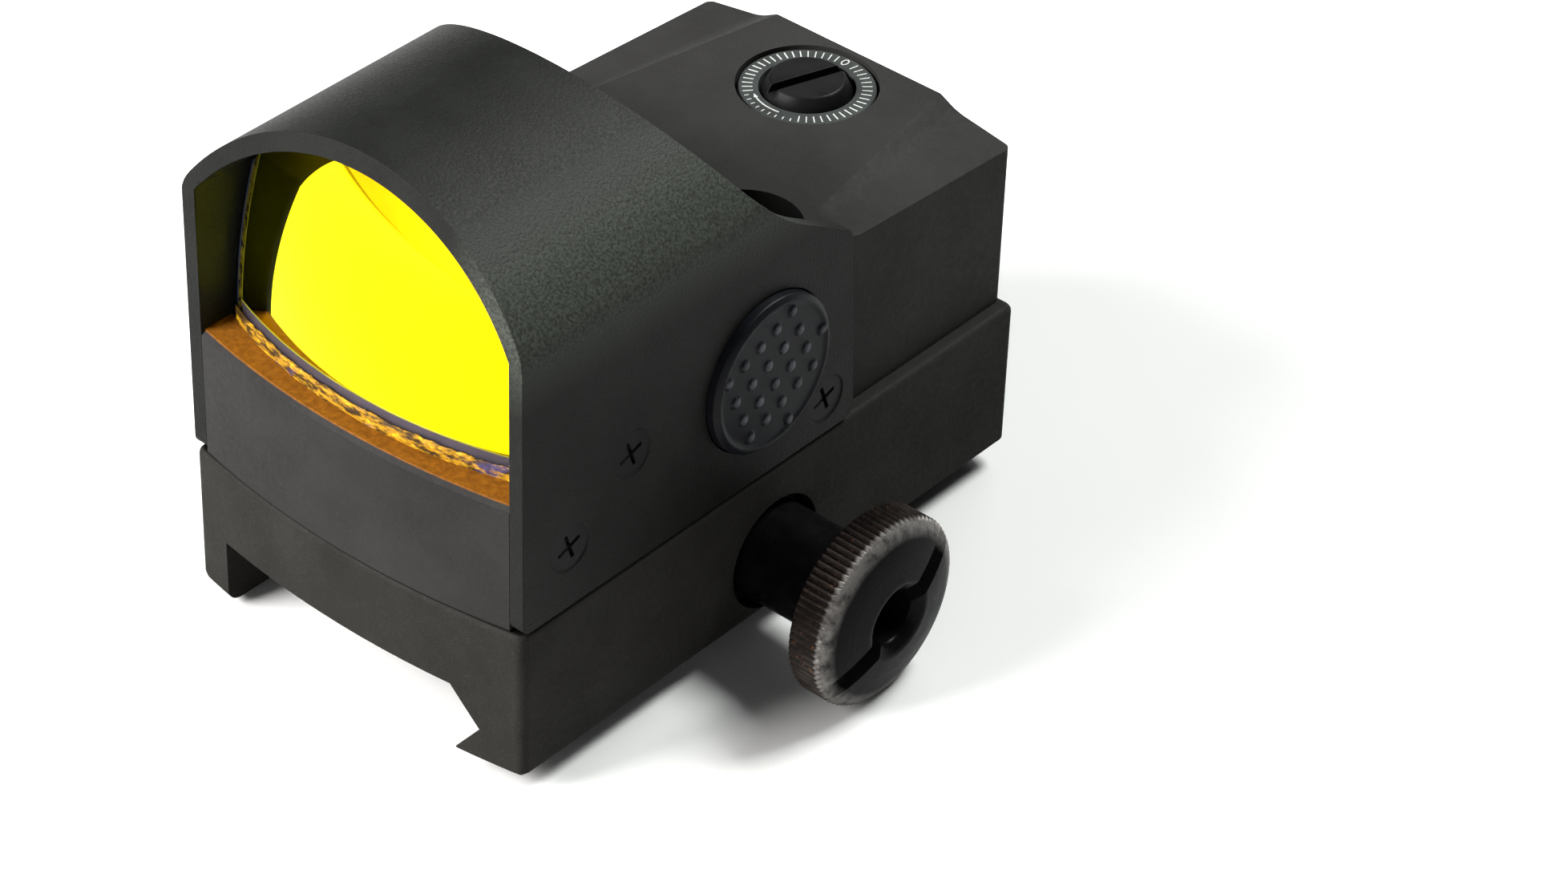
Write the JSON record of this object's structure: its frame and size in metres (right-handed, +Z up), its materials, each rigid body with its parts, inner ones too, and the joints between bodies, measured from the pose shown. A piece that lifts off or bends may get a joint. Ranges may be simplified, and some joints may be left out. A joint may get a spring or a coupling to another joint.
{
  "type": "red dot finder",
  "caption": "Compact reflex red dot finder: arched hood, coated lens, slotted adjusters, rubber power button and a cross-screw clamp for an accessory rail.",
  "frame": {"origin": "middle of the rail channel's ceiling, straight above the clamp screw's axis", "axes": "+Z up, +Y from the target towards the eye, along the rail, +X to the observer's right, where the clamp knob is"},
  "size_m": [0.0422, 0.0494, 0.0416],
  "materials": {
    "base_anodised": "fine-grained matte black anodising",
    "body_anodised": "fine-grained matte black anodising",
    "hood_coating": "pebbled satin black coating",
    "jaw_anodised": "matte black anodising",
    "coated_lens": "mirror-like amber dichroic coating",
    "optical_adhesive": "clear cured adhesive",
    "black_screw_steel": "black oxide steel",
    "dowel_steel": "ground steel",
    "knob_black_oxide": "glossy black oxide with worn knurl",
    "seal_rubber": "matte",
    "cell_steel": "satin nickel",
    "insulating_film": "thin amber film",
    "contact_brass": "bright",
    "board_laminate": "green circuit board",
    "switch_plastic": "moulded",
    "button_rubber": "semi-gloss moulded rubber",
    "adjuster_black": "glossy black anodising",
    "dial_enamel": "satin dark enamel with white scale",
    "spring_steel": "bright",
    "carriage_aluminium": "milled",
    "carriage_brass": "milled",
    "lamp_epoxy": "clear red epoxy",
    "clear_glass": "polished"
  },
  "bodies": {
    "sight": {"mount_base": "base_anodised", "body_housing": "body_anodised", "hood": "hood_coating", "lens": "coated_lens", "lens_bond": "optical_adhesive", "hood_screws": "black_screw_steel", "body_screws": "black_screw_steel", "locating_pins": "dowel_steel", "jaw_guide_pins": "dowel_steel", "body_gasket": "seal_rubber", "battery": "cell_steel", "battery_insulator": "insulating_film", "battery_contact_top": "contact_brass", "battery_contact_side": "contact_brass", "circuit_board": "board_laminate", "switch_body": "switch_plastic", "elevation_dial": "dial_enamel", "windage_dial": "dial_enamel", "elevation_seal": "seal_rubber", "windage_seal": "seal_rubber", "emitter_window": "clear_glass", "elevation_spring": "spring_steel"},
    "clamp_screw": {"clamp_screw": "knob_black_oxide"},
    "clamp_jaw": {"clamp_jaw": "jaw_anodised"},
    "elevation_adjuster": {"elevation_screw": "adjuster_black", "elevation_clip": "spring_steel"},
    "windage_adjuster": {"windage_screw": "adjuster_black", "windage_clip": "spring_steel"},
    "elevation_slide": {"elevation_slide": "carriage_aluminium"},
    "windage_nut": {"windage_nut": "carriage_brass"},
    "lamp_carriage": {"led_carriage": "carriage_aluminium", "led_emitter": "lamp_epoxy"},
    "power_button": {"power_button": "button_rubber", "switch_plunger": "switch_plastic"}
  },
  "joints": [
    {"name": "clamp_turn", "type": "hinge", "parent": "sight", "child": "clamp_screw", "pos_m": [0, 0, -0.00092], "axis": [1, 0, 0], "range_deg": [0, 1440]},
    {"name": "jaw_travel", "type": "slide", "parent": "sight", "child": "clamp_jaw", "axis": [-1, 0, 0], "range_m": [0, 0.0028]},
    {"name": "elevation_turn", "type": "hinge", "parent": "sight", "child": "elevation_adjuster", "pos_m": [0, 0.0188, 0.01965], "axis": [0, 0, 1], "range_deg": [-360, 360]},
    {"name": "elevation_travel", "type": "slide", "parent": "sight", "child": "elevation_slide", "axis": [0, 0, 1], "range_m": [-0.0005, 0.0005], "deforming": ["elevation_spring"]},
    {"name": "windage_turn", "type": "hinge", "parent": "sight", "child": "windage_adjuster", "pos_m": [-0.01314, 0.013, 0.012], "axis": [-1, 0, 0], "range_deg": [-360, 360]},
    {"name": "windage_travel", "type": "slide", "parent": "sight", "child": "windage_nut", "axis": [-1, 0, 0], "range_m": [-0.0005, 0.0005]},
    {"name": "lamp_travel", "type": "slide", "parent": "elevation_slide", "child": "lamp_carriage", "axis": [-1, 0, 0], "range_m": [-0.0005, 0.0005]},
    {"name": "button_press", "type": "slide", "parent": "sight", "child": "power_button", "axis": [-1, 0, 0], "range_m": [0, 0.0005], "stiffness_N_per_m": 3000}
  ],
  "couplings": [
    {"joint": "clamp_turn", "follows": "jaw_travel", "rad_per_m": 8976},
    {"joint": "elevation_turn", "follows": "elevation_travel", "rad_per_m": -12566},
    {"joint": "windage_turn", "follows": "windage_travel", "rad_per_m": -12566},
    {"joint": "lamp_travel", "follows": "windage_travel", "ratio": 1}
  ]
}
